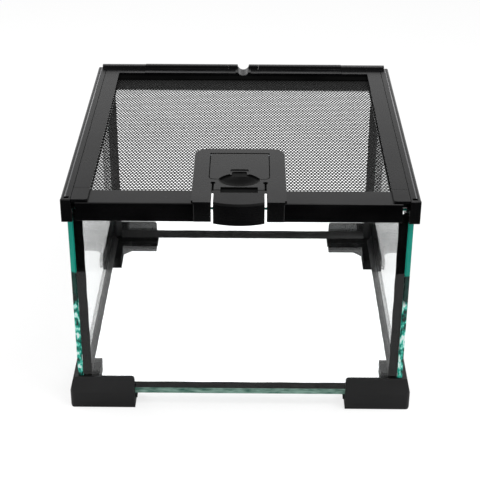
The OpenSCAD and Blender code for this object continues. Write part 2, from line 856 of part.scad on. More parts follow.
// Plan of the housing over the lid
module housing_plan() {
    r = 12;
    half = latch_w / 2;
    difference() {
        union() {
            round_area([-half, -latch_rear - 3 * r], [half, -latch_rear], r);
            area([-half, -lid_front - leg_t], [half, -latch_rear - r]);
        }
        // the front is open between the legs
        area([-slit_out, -lid_front - leg_t - 1], [slit_out, -hinge_y + film_gap / 2]);
        // slits with a round end
        both_sides() {
            area([tongue_w / 2, -hinge_y - 1], [slit_out, -key_hole_y]);
            translate([tongue_w / 2 + slit_w / 2, -key_hole_y]) circle(key_hole_r);
        }
        // the front edge steps back outside the legs
        both_sides() area([slit_out + leg_w, -lid_front - leg_t - 1], [half + 1, -lid_front + 0.4]);
    }
}

// One leg, which folds down over the skirt of the front bar
module leg() {
    x0 = slit_out;
    y0 = -lid_front - leg_t;
    intersection() {
        soft_block([x0, y0, lid_top - leg_drop], [x0 + leg_w, y0 + 12, latch_top + 4], 1.6);
        along_x(x0, x0 + leg_w) difference() {
            round_area([y0, lid_top - leg_drop - 4], [y0 + 14, latch_top], 1.2);
            area([y0 + leg_t - 0.1, 0], [y0 + 20, lid_top]);
        }
    }
}

// A dish for a fingertip: a barrel laid across the latch, so that it opens in a
// lens at the surface and runs out at both ends
module finger_dish() {
    belly = (dish_reach * dish_reach + dish_depth * dish_depth) / (2 * dish_depth);
    rise = belly - dish_depth;
    arc = (dish_half * dish_half + dish_depth * dish_depth) / (2 * dish_depth);
    translate([0, -dish_y, latch_top + rise]) rotate([0, 90, 0])
        rotate_extrude($fn = 96) intersection() {
            translate([belly - arc, 0]) circle(arc, $fn = 96);
            area([0, -dish_half - 1], [belly + 1, dish_half + 1]);
        }
}

// Plan of the hatch: a rounded rectangle with a bite for the finger dish
module hatch_plan(grow) {
    half = hatch_w / 2 + grow;
    r = 4;
    front = -hatch_front - grow;
    bite_r = dish_half + 1.8 - grow;
    difference() {
        union() {
            round_area([-half, front], [half, front + 4 * r], r);
            area([-half, front + r], [half, -hatch_hinge]);
        }
        translate([0, -hatch_front - 8]) circle(bite_r, $fn = 96);
    }
}

// Recess in the housing for the hatch, its hinge barrel and its pin
module hatch_recess() {
    half = hatch_w / 2 + hatch_gap;
    r = 4 + hatch_gap;
    front = -hatch_front - hatch_gap;
    rear = -hatch_hinge + barrel_r + hatch_gap;
    floor_gap = 0.1;
    translate([0, 0, hatch_z - floor_gap]) linear_extrude(hatch_t + 2) difference() {
        union() {
            round_area([-half, front], [half, front + 4 * r], r);
            area([-half, front + r], [half, rear]);
        }
        // the snap nub stays on the right wall
        translate([half + nub_r - nub_out, -nub_y]) circle(nub_r);
    }
    block([-half, -hatch_hinge - 2.6, barrel_z - barrel_r - 0.4], [half, rear, latch_top + 1]);
}

// Bore of the pin, in the walls beside the hatch
module pin_bore(r, reach) {
    translate([-reach, -hatch_hinge, barrel_z]) rotate([0, 90, 0]) cylinder(r = r, h = 2 * reach);
}

module latch_housing() {
    color(black) place_lid() difference() {
        union() {
            // the plate over the front bar
            translate([0, 0, lid_top]) linear_extrude(plate_t) intersection() {
                housing_plan();
                area([-latch_w, -lid_front - leg_t - 1], [latch_w, -front_bar_rear + 1]);
            }
            // the thicker part behind it, down on the mesh
            translate([0, 0, mesh_z + mesh_t]) linear_extrude(latch_top - mesh_z - mesh_t)
                intersection() {
                    housing_plan();
                    area([-latch_w, -front_bar_rear + fit], [latch_w, 0]);
                }
            // the collar through the mesh, round the port
            translate([0, 0, collar_z]) linear_extrude(mesh_z + mesh_t + eps - collar_z) collar_hole(0);
            both_sides() leg();
        }
        hatch_recess();
        finger_dish();
        // the feeding port
        block([-port.x / 2, -port_y - port.y, 0], [port.x / 2, -port_y, latch_top + 1]);
        pin_bore(pin_r + pin_slip, pin_half);
        // the rear half of the groove over the film
        block([-groove.x / 2, -hinge_y - 1, film_z + film_t],
              [groove.x / 2, -hinge_y + groove.y / 2, latch_top + 1]);
        // the film is free of the bar below
        block([-slit_out, -hinge_y - 1, lid_top - 1], [slit_out, -hinge_y + groove.y / 2, film_z]);
        // the joint opens upwards beside the groove
        joint_wedge(1);
        // pilot holes for the screws
        for (x = [-screw_x, screw_x], y = screw_y)
            translate([x, -y, mesh_z - 1]) cylinder(r = screw_r - 0.25, h = 1 + mesh_t + 2.2);
    }
}

// Wedge of room beside the groove, so that the tongue can lift
module joint_wedge(sy) {
    y = -hinge_y + sy * film_gap / 2;
    top = (latch_top - hinge_z) * tan(tongue_lift) / 2 + 0.12;
    along_x(-slit_out, slit_out) polygon([
        [y - sy, film_z - 1], [y, film_z - 1], [y, hinge_z], [y + sy * top, latch_top + eps],
        [y - sy, latch_top + eps]
    ]);
}

// The ring that clamps the mesh against the housing from below
module latch_backing() {
    half = latch_w / 2 - 1.4;
    y0 = -front_bar_rear + 1.9;
    y1 = -latch_rear - 2;
    color(black) place_lid() difference() {
        translate([0, 0, mesh_z - backing_t]) linear_extrude(backing_t) difference() {
            round_area([-half, y0], [half, y1], 6);
            collar_hole(0.2);
        }
        for (x = [-screw_x, screw_x], y = screw_y) {
            translate([x, -y, mesh_z - backing_t - 1]) cylinder(r = screw_r + 0.2, h = backing_t + 2);
            translate([x, -y, mesh_z - backing_t - 1]) cylinder(r = screw_r * 2 + 0.2, h = 2);
        }
    }
}

// Four pan-head screws, from below through the ring and the mesh
module latch_screws() {
    color("#8a8a8a") place_lid() for (x = [-screw_x, screw_x], y = screw_y)
        translate([x, -y, mesh_z - backing_t]) {
            cylinder(r = screw_r - 0.3, h = backing_t + mesh_t + 1.8);
            difference() {
                cylinder(r = screw_r * 2, h = 0.9);
                block([-1.6, -0.3, -1], [1.6, 0.3, 0.4]);
                block([-0.3, -1.6, -1], [0.3, 1.6, 0.4]);
            }
        }
}

// ---- feeding hatch --------------------------------------------------------

module hatch_pin() {
    color("#8a8a8a") place_lid() translate([-pin_half + 0.2, -hatch_hinge, barrel_z])
        rotate([0, 90, 0]) cylinder(r = pin_r, h = 2 * pin_half - 0.4);
}

module feed_hatch() {
    half = hatch_w / 2;
    color(black) place_lid() difference() {
        union() {
            translate([0, 0, hatch_z]) linear_extrude(hatch_t) hatch_plan(0);
            // hinge barrel along the rear edge
            translate([-half, -hatch_hinge, barrel_z]) rotate([0, 90, 0])
                cylinder(r = barrel_r, h = hatch_w);
            // rim that stiffens the hatch and locates it in the port
            translate([0, 0, hatch_z - hatch_rib]) linear_extrude(hatch_rib + eps) difference() {
                hatch_rim(0);
                hatch_rim(hatch_rib_t);
            }
        }
        pin_bore(pin_r + pin_fit, half + 1);
        // finger notch over the dish, stepped down to a thin lip
        finger_notch();
    }
}

// Plan of the rim below the hatch, which drops into the port, drawn in by an inset
module hatch_rim(inset) {
    half = port.x / 2 - 0.5 - inset;
    round_area([-half, -port_y - port.y + 0.6 + inset], [half, -port_y - 4 - inset], 2 - inset);
}

// The notch in the hatch's front edge: open in front, with a lower lip behind
module finger_notch() {
    front = -hatch_front + 8;
    rear = -hatch_front + 8 + lip.y;
    lip_drop = 0.8;
    lip_w = 3.2;
    translate([0, 0, hatch_z + hatch_t - lip_drop]) linear_extrude(hatch_t)
        round_area([-lip.x / 2, front - 6], [lip.x / 2, rear + 1.8], 2);
    translate([0, 0, hatch_z - 2]) linear_extrude(hatch_t + 4)
        round_area([-lip.x / 2 + 1.6, front - 6], [lip.x / 2 - 1.6, rear - lip_w + 1.8], 1.6);
}

// ---- latch tongue ---------------------------------------------------------

// Plan of the tongue in front of its hinge line, with a bowed front edge
module tongue_plan(inset) {
    half = tongue_w / 2 - inset;
    bow = ((tongue_w / 2) * (tongue_w / 2) + tongue_bulge * tongue_bulge) / (2 * tongue_bulge);
    intersection() {
        area([-half, -tongue_front - 1], [half, -hinge_y - film_gap / 2]);
        translate([0, bow - tongue_front]) circle(bow - inset, $fn = 180);
    }
}

module latch_tongue() {
    wall = 2;
    front_drop = 1.4;
    skirt_rear = -front_out - 2;
    color(black) place_lid() difference() {
        union() {
            // top plate, from the film to the bowed front
            translate([0, 0, film_z]) linear_extrude(latch_top - film_z) tongue_plan(0);
            // front wall and cheeks, in front of the glass
            translate([0, 0, tongue_low]) linear_extrude(film_z + eps - tongue_low) difference() {
                intersection() {
                    tongue_plan(0);
                    area([-tongue_w, -tongue_front - 1], [tongue_w, skirt_rear]);
                }
                tongue_plan(wall);
            }
            // ribs behind the front wall
            for (x = [-9, 0, 9])
                along_x(x - 0.8, x + 0.8) polygon([
                    [-tongue_side + 0.4, tongue_low + 4], [-tongue_side + 0.4, film_z + eps],
                    [skirt_rear + 3, film_z + eps]
                ]);
            // catch over the top edge of the front pane
            catch();
        }
        // rounded upper front edge
        tongue_edge(front_drop);
        // the front half of the groove over the film
        block([-groove.x / 2, -hinge_y - groove.y / 2, film_z + film_t],
              [groove.x / 2, -hinge_y + 1, latch_top + 1]);
        joint_wedge(-1);
    }
}

// The catch: a tooth above the rear edge of the front pane, with a lead-in slope
module catch() {
    low = pane_top + catch_gap;
    y0 = -front_in - 1.5;
    along_x(-9, 9) polygon([
        [y0, low], [y0, film_z + eps], [y0 + 5.5, film_z + eps], [y0 + 3, low]
    ]);
}

// Chamfer that follows the bowed front edge of the tongue
module tongue_edge(size) {
    bow = ((tongue_w / 2) * (tongue_w / 2) + tongue_bulge * tongue_bulge) / (2 * tongue_bulge);
    translate([0, bow - tongue_front, 0]) rotate_extrude($fn = 180) polygon([
        [bow - size, latch_top + eps], [bow + 1, latch_top + eps], [bow + 1, latch_top - size],
        [bow, latch_top - size]
    ]);
}

// ---- assembly -------------------------------------------------------------

base_pane();
front_pane();
rear_pane();
left_pane();
right_pane();
front_left_seal();
front_right_seal();
rear_left_seal();
rear_right_seal();
front_base_seal();
rear_base_seal();
left_base_seal();
right_base_seal();
front_left_foot();
front_right_foot();
rear_left_foot();
rear_right_foot();
left_rail();
right_rail();
rear_rail();
left_rail_cap();
right_rail_cap();
left_channel_cover();
right_channel_cover();
left_rear_strip();
right_rear_strip();
cable_inlet();
lid_front_bar();
lid_left_bar();
lid_right_bar();
lid_rear_bar();
lid_corner_keys();
mesh_screen();
latch_housing();
latch_backing();
latch_screws();
hatch_pin();
feed_hatch();
latch_tongue();
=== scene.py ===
"""Looks of a glass reptile terrarium with a sliding mesh lid.

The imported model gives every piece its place. This script dresses it: glass with
ground edges, tooled silicone, moulded black plastic with softened edges, and a
perforated screen. All lengths in the classes are millimetres unless said otherwise.
"""

import logging
import math
from collections.abc import Iterable, Sequence
from dataclasses import dataclass, field
from enum import Enum
from typing import Protocol

import bmesh
import bpy
from mathutils import Matrix, Vector


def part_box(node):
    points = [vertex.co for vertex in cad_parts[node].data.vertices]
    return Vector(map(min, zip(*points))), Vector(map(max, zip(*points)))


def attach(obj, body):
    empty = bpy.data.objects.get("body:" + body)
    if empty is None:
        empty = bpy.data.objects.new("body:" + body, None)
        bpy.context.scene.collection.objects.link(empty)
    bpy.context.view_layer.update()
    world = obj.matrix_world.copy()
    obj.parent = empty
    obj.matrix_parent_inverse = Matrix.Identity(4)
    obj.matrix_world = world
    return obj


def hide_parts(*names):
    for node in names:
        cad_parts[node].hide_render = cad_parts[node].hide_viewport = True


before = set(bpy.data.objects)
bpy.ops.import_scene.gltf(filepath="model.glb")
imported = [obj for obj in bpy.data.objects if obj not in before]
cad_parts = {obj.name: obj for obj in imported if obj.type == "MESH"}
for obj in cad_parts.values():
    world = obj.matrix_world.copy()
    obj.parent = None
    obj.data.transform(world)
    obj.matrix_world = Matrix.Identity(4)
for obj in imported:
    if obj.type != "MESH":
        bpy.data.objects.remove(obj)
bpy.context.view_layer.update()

log = logging.getLogger("terrarium")

MM = 0.001
GLASS_IOR = 1.52
WHITE = "#ffffff"
# The range that most values of a noise texture fall in
NOISE_SPAN = (0.3, 0.7)
# The colour sockets of a mix node, which share their names with its plain ones
MIX_FIRST, MIX_SECOND, MIX_RESULT = 6, 7, 2
# The sides of the tank and the sign of X on each
SIDES = (("left", -1), ("right", 1))

Material = bpy.types.Material
Mesh = bpy.types.Mesh
Object = bpy.types.Object
Outputs = bpy.types.NodeOutputs
Socket = bpy.types.NodeSocket
Tree = bpy.types.NodeTree
Corner = tuple[float, float, float]
Box = tuple[Corner, Corner]


class Body(Enum):
    """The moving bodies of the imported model."""

    TANK = "root"
    LID = "lid"
    HATCH = "hatch"
    TONGUE = "tongue"


# ---- small helpers ----


def linear(hex_colour: str) -> tuple[float, float, float, float]:
    """Turns an sRGB hex value into linear RGBA.

    Args:
        hex_colour: six hex digits after a hash sign.

    Returns:
        Red, green, blue and an alpha of 1.
    """
    parts = [int(hex_colour[i : i + 2], 16) / 255 for i in (1, 3, 5)]
    # The curve of the sRGB standard
    red, green, blue = (c / 12.92 if c <= 0.04045 else ((c + 0.055) / 1.055) ** 2.4 for c in parts)
    return red, green, blue, 1.0


def add_node(tree: Tree, kind: str, inputs: dict | None = None, **settings: object) -> bpy.types.Node:
    """Adds a node with its settings and links.

    Args:
        tree: the tree that gets the node.
        kind: the node's type name.
        inputs: values or output sockets, by input name or index.
        **settings: properties of the node.

    Returns:
        The new node.
    """
    node = tree.nodes.new(kind)
    for name, value in settings.items():
        setattr(node, name, value)
    for key, value in (inputs or {}).items():
        if isinstance(value, Socket):
            tree.links.new(value, node.inputs[key])
        else:
            node.inputs[key].default_value = value
    return node


def ramp(tree: Tree, factor: Socket, stops: Sequence[tuple[float, str]]) -> Socket:
    """Adds a colour ramp.

    Args:
        tree: the tree that gets the node.
        factor: what drives the ramp.
        stops: places and hex colours, in order.

    Returns:
        The ramp's colour.
    """
    node = add_node(tree, "ShaderNodeValToRGB", {"Fac": factor})
    marks = node.color_ramp.elements
    marks[0].position, marks[0].color = stops[0][0], linear(stops[0][1])
    marks[1].position, marks[1].color = stops[-1][0], linear(stops[-1][1])
    for place, colour in stops[1:-1]:
        marks.new(place).color = linear(colour)
    return node.outputs["Color"]


def blend(tree: Tree, factor: Socket, first: str, second: str) -> Socket:
    """Blends two hex colours over a noise's usual range, and gives the colour."""
    return ramp(tree, factor, list(zip(NOISE_SPAN, (first, second))))


def mix_colours(tree: Tree, factor: object, first: object, second: object) -> Socket:
    """Mixes two colours, from the first at a factor of 0 to the second at 1."""
    node = add_node(tree, "ShaderNodeMix", {"Factor": factor, MIX_FIRST: first, MIX_SECOND: second},
                    data_type="RGBA")
    return node.outputs[MIX_RESULT]


def new_material(name: str) -> tuple[Material, Tree]:
    """Makes an empty node material.

    Args:
        name: the material's name.

    Returns:
        The material and its tree.
    """
    material = bpy.data.materials.new(name)
    material.use_nodes = True
    material.node_tree.nodes.clear()
    return material, material.node_tree


def cover(tree: Tree, inputs: dict) -> None:
    """Ends a material in one principled shader.

    Args:
        tree: the material's tree.
        inputs: the shader's values and links, by input name.
    """
    shader = add_node(tree, "ShaderNodeBsdfPrincipled", inputs)
    add_node(tree, "ShaderNodeOutputMaterial", {"Surface": shader.outputs["BSDF"]})


def bump(tree: Tree, height: Socket, depth_mm: float) -> Socket:
    """Turns a height into a bumped normal, for a relief of some depth in millimetres."""
    node = add_node(tree, "ShaderNodeBump", {"Height": height, "Distance": depth_mm * MM})
    return node.outputs["Normal"]


def place_mm(tree: Tree, stretch: Sequence[float] = (1, 1, 1)) -> Socket:
    """Gives the place on the object in millimetres, for a pattern that sticks to the piece.

    Args:
        tree: the material's tree.
        stretch: factors along X, Y and Z. A small one draws a pattern out.

    Returns:
        The vector socket.
    """
    coords = add_node(tree, "ShaderNodeTexCoord")
    mapping = add_node(tree, "ShaderNodeMapping", {
        "Vector": coords.outputs["Object"], "Scale": [factor / MM for factor in stretch],
    })
    return mapping.outputs["Vector"]


def noise(tree: Tree, vector: Socket, grain_mm: float, detail: float = 2.0) -> Socket:
    """Adds noise of one grain size.

    Args:
        tree: the tree that gets the node.
        vector: the place in millimetres.
        grain_mm: the size of its blotches.
        detail: how many finer layers it holds.

    Returns:
        Its value, mostly within NOISE_SPAN.
    """
    node = add_node(tree, "ShaderNodeTexNoise", {"Vector": vector, "Scale": 1 / grain_mm, "Detail": detail})
    return node.outputs["Fac"]


def spread(tree: Tree, value: Socket, source: Sequence[float], target: Sequence[float]) -> Socket:
    """Maps a value from one range to another.

    Args:
        tree: the tree that gets the node.
        value: the value.
        source: the range that it has. It is clamped to that.
        target: the range that it gets.

    Returns:
        The mapped value.
    """
    node = add_node(tree, "ShaderNodeMapRange", {
        "Value": value, "From Min": source[0], "From Max": source[1],
        "To Min": target[0], "To Max": target[1],
    })
    return node.outputs["Result"]


def maths(tree: Tree, how: str, first: object, second: object = 0.0) -> Socket:
    """Adds one sum of two values, named by its operation, and gives the result."""
    node = add_node(tree, "ShaderNodeMath", {0: first, 1: second}, operation=how)
    return node.outputs["Value"]


def vector_maths(tree: Tree, how: str, first: object, second: object = (0.0, 0.0, 0.0)) -> Socket:
    """Adds one sum of two vectors, named by its operation, and gives the result."""
    node = add_node(tree, "ShaderNodeVectorMath", {0: first, 1: second}, operation=how)
    return node.outputs["Vector"]


def split(tree: Tree, vector: Socket) -> Outputs:
    """Gives the X, Y and Z of a vector, by name."""
    return add_node(tree, "ShaderNodeSeparateXYZ", {"Vector": vector}).outputs


def new_object(name: str, data: bpy.types.ID) -> Object:
    """Links a new object that holds a mesh, a lamp or a camera, and gives the object."""
    obj = bpy.data.objects.new(name, data)
    bpy.context.scene.collection.objects.link(obj)
    return obj


def mesh_of(name: str, points: Iterable[Sequence[float]], faces: Iterable[Sequence[int]]) -> Mesh:
    """Builds a mesh from points in millimetres.

    Args:
        name: the mesh's name.
        points: the vertices.
        faces: the vertex numbers of each face.

    Returns:
        The mesh, in metres.
    """
    mesh = bpy.data.meshes.new(name)
    mesh.from_pydata([[c * MM for c in p] for p in points], [], [list(f) for f in faces])
    mesh.update()
    return mesh


def skin(name: str, rings: Sequence[Sequence[Sequence[float]]]) -> Mesh:
    """Skins a row of rings and closes both ends.

    Args:
        name: the mesh's name.
        rings: rings of as many points each, in millimetres.

    Returns:
        The closed mesh, with its faces turned outwards.
    """
    size, count = len(rings[0]), len(rings) - 1
    faces = [(k * size + i, k * size + (i + 1) % size, (k + 1) * size + (i + 1) % size, (k + 1) * size + i)
             for k in range(count) for i in range(size)]
    faces += [tuple(range(size))[::-1], tuple(count * size + i for i in range(size))]
    mesh = mesh_of(name, [point for ring in rings for point in ring], faces)
    work = bmesh.new()
    work.from_mesh(mesh)
    bmesh.ops.recalc_face_normals(work, faces=work.faces[:])
    work.to_mesh(mesh)
    work.free()
    return mesh


def smooth(obj: Object, angle_deg: float) -> None:
    """Shades a mesh smooth where its faces meet at less than an angle."""
    for polygon in obj.data.polygons:
        polygon.use_smooth = True
    obj.data.set_sharp_from_angle(angle=math.radians(angle_deg))


def apply_modifiers(obj: Object) -> Object:
    """Replaces an object's mesh by its evaluated one and removes its modifiers.

    Args:
        obj: the object.

    Returns:
        The same object, with no modifiers.
    """
    depsgraph = bpy.context.evaluated_depsgraph_get()
    mesh = bpy.data.meshes.new_from_object(obj.evaluated_get(depsgraph), depsgraph=depsgraph)
    mesh.name = obj.data.name
    obj.modifiers.clear()
    obj.data = mesh
    return obj


def finish_piece(
    obj: Object, body: Body, slot: str, *nodes: str, materials: Sequence[Material] = ()
) -> Object:
    """Puts a finished piece on its body and reports it.

    Args:
        obj: the piece, in place.
        body: the body that it rides on.
        slot: the record's material slot; not used.
        *nodes: the CAD nodes that it stands for.
        materials: its materials, where the mesh doesn't hold them yet.

    Returns:
        The same piece.
    """
    for material in materials:
        obj.data.materials.append(material)
    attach(obj, body.value)
    if nodes:
        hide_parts(*nodes)
    log.info("%s rides on %s, %d faces", obj.name, body.value, len(obj.data.polygons))
    return obj


# ---- finishes ----


@dataclass(frozen=True)
class MouldedPlastic:
    """Black ABS, injection moulded against a finely etched steel tool."""

    name: str
    shade: str = "#070708"
    pale: str = "#0c0c0d"
    roughness: float = 0.24
    sheen: float = 0.35
    grain_mm: float = 0.9  # the real etch is about 0.1 mm, drawn as coarse as the render can show
    grain_depth_mm: float = 0.006
    flow_mm: float = 38.0
    flow_gloss: float = 0.04
    streak_mm: float = 2.4
    streak_gloss: float = 0.02
    ior: float = 1.52

    def build(self) -> Material:
        """Builds the material: an even black whose gloss wanders a little with the melt's flow."""
        material, tree = new_material(self.name)
        place = place_mm(tree)
        flow = noise(tree, place, self.flow_mm, 3)
        streaks = noise(tree, place_mm(tree, (0.05, 1, 1)), self.streak_mm)
        wander = maths(tree, "ADD", spread(tree, flow, (0.35, 0.65), (-self.flow_gloss, self.flow_gloss)),
                       spread(tree, streaks, NOISE_SPAN, (-self.streak_gloss, self.streak_gloss)))
        cover(tree, {
            "Base Color": ramp(tree, flow, [(0.3, self.shade), (0.75, self.pale)]),
            "Roughness": maths(tree, "ADD", wander, self.roughness),
            "Normal": bump(tree, noise(tree, place, self.grain_mm, 1), self.grain_depth_mm),
            "IOR": self.ior,
            "Specular IOR Level": self.sheen,
        })
        return material


@dataclass(frozen=True)
class Silicone:
    """Black neutral-cure silicone, drawn smooth by a thumb: rubbery, with slow ripples."""

    name: str = "tooled_silicone"
    shade: str = "#070707"
    pale: str = "#111111"
    ripple_mm: float = 5.0
    ripple_depth_mm: float = 0.35
    patch_mm: float = 9.0
    roughness: tuple[float, float] = (0.34, 0.5)
    ior: float = 1.41

    def build(self) -> Material:
        """Builds the material: black, its gloss in slow patches where the thumb pressed harder."""
        material, tree = new_material(self.name)
        place = place_mm(tree)
        ripple = noise(tree, place, self.ripple_mm, 3)
        cover(tree, {
            "Base Color": blend(tree, ripple, self.shade, self.pale),
            "Roughness": spread(tree, noise(tree, place, self.patch_mm), NOISE_SPAN, self.roughness),
            "Normal": bump(tree, ripple, self.ripple_depth_mm),
            "IOR": self.ior,
        })
        return material


@dataclass(frozen=True)
class FloatGlass:
    """Clear float glass, 4 mm: nearly colourless seen through its faces."""

    name: str = "float_glass"
    tint: str = "#feffff"

    def build(self) -> Material:
        """Builds the material. Lamps and soft light pass it, so it casts no dark shadow."""
        material, tree = new_material(self.name)
        glass = add_node(tree, "ShaderNodeBsdfPrincipled", {
            "Base Color": linear(self.tint),
            "Roughness": 0.0,
            "IOR": GLASS_IOR,
            "Transmission Weight": 1.0,
        })
        clear = add_node(tree, "ShaderNodeBsdfTransparent", {"Color": linear(self.tint)})
        path = add_node(tree, "ShaderNodeLightPath").outputs
        soft = maths(tree, "MAXIMUM", path["Is Shadow Ray"], path["Is Diffuse Ray"])
        mix = add_node(tree, "ShaderNodeMixShader",
                       {0: soft, 1: glass.outputs["BSDF"], 2: clear.outputs["BSDF"]})
        add_node(tree, "ShaderNodeOutputMaterial", {"Surface": mix.outputs["Shader"]})
        return material


@dataclass(frozen=True)
class GroundEdge:
    """Ground edge of float glass, where the iron in the glass gathers to a deep teal.

    The upper third of an upright edge is even teal. A short stretch below it is nearly black,
    a painted dark reflection, and the rest is mottled with pale blotches, a painted reflection
    of the pale floor. The edges of the base pane are a pale grey green.
    """

    name: str = "ground_glass_edge"
    smooth_above: float = 137.0
    smooth_fade: float = 1.0
    dark_reflection_above: float = 109.0
    dark_reflection_fade: float = 3.0
    base_below: float = 16.5
    wander: float = 1.5
    wander_mm: float = 14.0
    blotch_mm: float = 3.6
    smooth_mm: float = 7.0
    strip_mm: float = 2.0
    relief_mm: float = 0.05
    roughness: float = 0.25
    # Painted reflection of the pale floor: dark teal blotches up to near-white highlights
    reflection_mottle: tuple[tuple[float, str], ...] = (
        (0.36, "#04332c"), (0.45, "#0c8270"), (0.52, "#2fc2aa"), (0.57, "#9aecdf"), (0.64, "#f0fffb"),
    )
    even: tuple[str, str] = ("#089280", "#18a592")
    # Painted dark reflection, in the stretch below the even teal
    dark: tuple[str, str] = ("#031512", "#0b3f37")
    strip: tuple[str, str] = ("#3c6b5c", "#8fb3a5")

    def build(self) -> Material:
        """Builds the material: bands over the height, whose borders wander a little."""
        material, tree = new_material(self.name)
        place = place_mm(tree)
        height = split(tree, place)["Z"]
        wander = spread(tree, noise(tree, place, self.wander_mm), NOISE_SPAN, (-self.wander, self.wander))
        level = maths(tree, "ADD", height, wander)
        blotch = noise(tree, place_mm(tree, (1, 1, 0.5)), self.blotch_mm)
        painted_reflection = ramp(tree, blotch, self.reflection_mottle)
        even = blend(tree, noise(tree, place_mm(tree, (1, 1, 0.2)), self.smooth_mm), *self.even)
        dark = blend(tree, blotch, *self.dark)
        strip = blend(tree, noise(tree, place_mm(tree, (0.2, 0.2, 1)), self.strip_mm), *self.strip)
        # Painted reflections by height: mottled low down, a dark band above it, even teal at the top
        lower = mix_colours(tree, self.above(tree, level, self.dark_reflection_above, self.dark_reflection_fade), painted_reflection, dark)
        upper = mix_colours(tree, self.above(tree, level, self.smooth_above, self.smooth_fade), lower, even)
        on_base = maths(tree, "LESS_THAN", height, self.base_below)
        cover(tree, {
            "Base Color": mix_colours(tree, on_base, upper, strip),
            "Roughness": self.roughness,
            "Normal": bump(tree, blotch, self.relief_mm),
            "IOR": GLASS_IOR,
        })
        return material

    def above(self, tree: Tree, level: Socket, border: float, fade: float) -> Socket:
        """Gives 0 below a border and 1 above it, with a fade of some millimetres each way."""
        return spread(tree, level, (border - fade, border + fade), (0, 1))


@dataclass(frozen=True)
class CoatedScreen:
    """Perforated aluminium sheet under a thin black powder coat: matt, faintly pebbled."""

    name: str = "coated_screen"
    shade: str = "#050505"
    pale: str = "#0a0a0a"
    pebble_mm: float = 1.2
    pebble_depth_mm: float = 0.02
    roughness: float = 0.62
    sheen: float = 0.16

    def build(self) -> Material:
        """Builds the material: a flat black that keeps the holes crisp against it."""
        material, tree = new_material(self.name)
        pebbles = noise(tree, place_mm(tree), self.pebble_mm)
        cover(tree, {
            "Base Color": blend(tree, pebbles, self.shade, self.pale),
            "Roughness": self.roughness,
            "Specular IOR Level": self.sheen,
            "Normal": bump(tree, pebbles, self.pebble_depth_mm),
        })
        return material


@dataclass(frozen=True)
class ZincSteel:
    """Bright zinc-plated steel, drawn or rolled: a cool grey with fine drawing lines."""

    name: str = "zinc_plated_steel"
    shade: str = "#8c9095"
    pale: str = "#a9acb0"
    line_mm: float = 0.4
    roughness: tuple[float, float] = (0.25, 0.42)

    def build(self) -> Material:
        """Builds the material: lines along X, each duller the paler it is."""
        material, tree = new_material(self.name)
        lines = noise(tree, place_mm(tree, (0.1, 1, 1)), self.line_mm)
        cover(tree, {
            "Base Color": blend(tree, lines, self.shade, self.pale),
            "Metallic": 1.0,
            "Roughness": spread(tree, lines, NOISE_SPAN, self.roughness),
        })
        return material


class Finish(Protocol):
    """Anything that builds a material."""

    def build(self) -> Material:
        """Builds the material."""


def built(finish: Finish) -> Material:
    """Makes a palette entry, which builds its finish when the palette is made."""
    return field(default_factory=finish.build)


@dataclass
class Palette:
    """Every finish, built once."""

    # The tank's frame: black, with a soft satin glow on the upper faces
    frame_plastic: Material = built(MouldedPlastic("moulded_abs_frame", sheen=0.19))
    # The lid's bars: a deeper black, so that the front bar's upright face stands out dark
    lid_plastic: Material = built(MouldedPlastic(
        "moulded_abs_lid", roughness=0.22, sheen=0.26, shade="#040405", pale="#070708"))
    # Painted shade for recess walls and floors, the tongue's front chamfer and the inner sides of the rear
    # feet: near black with little shine, so slits and dishes read as deep
    painted_shade_plastic: Material = built(MouldedPlastic(
        "abs_painted_shade", roughness=0.5, sheen=0.06, shade="#040404", pale="#070707"))
    # A grey bead, which draws a thin pale line along each side rail: a painted highlight
    highlight_bead_plastic: Material = built(MouldedPlastic(
        "painted_highlight_bead", roughness=0.2, sheen=1.0, shade="#48484a", pale="#58585a", grain_depth_mm=0.001))
    # The lid's rear bar: no shine at all, painted shade for the plain dark stripe behind the screen, where
    # the rear strip hides the bar's reflection
    rear_bar_painted_shade: Material = built(MouldedPlastic(
        "abs_rear_bar_painted_shade", roughness=0.7, sheen=0.0, shade="#060606", pale="#0c0c0c"))
    # The tongue: a shade darker on top than the housing that it springs from
    tongue_plastic: Material = built(MouldedPlastic("moulded_abs_tongue", sheen=0.18))
    # The latch and the rear rail: the palest black, an even dark grey seen from above
    latch_plastic: Material = built(MouldedPlastic("moulded_abs_latch", roughness=0.26, sheen=0.31))
    # The feet: duller and a little greyer, with a visible grain
    foot_plastic: Material = built(MouldedPlastic(
        "moulded_abs_foot", roughness=0.36, shade="#0a0a0b", pale="#101012", grain_depth_mm=0.012))
    silicone: Material = built(Silicone())
    glass: Material = built(FloatGlass())
    glass_edge: Material = built(GroundEdge())
    screen: Material = built(CoatedScreen())
    steel: Material = built(ZincSteel())


# ---- glass and silicone ----


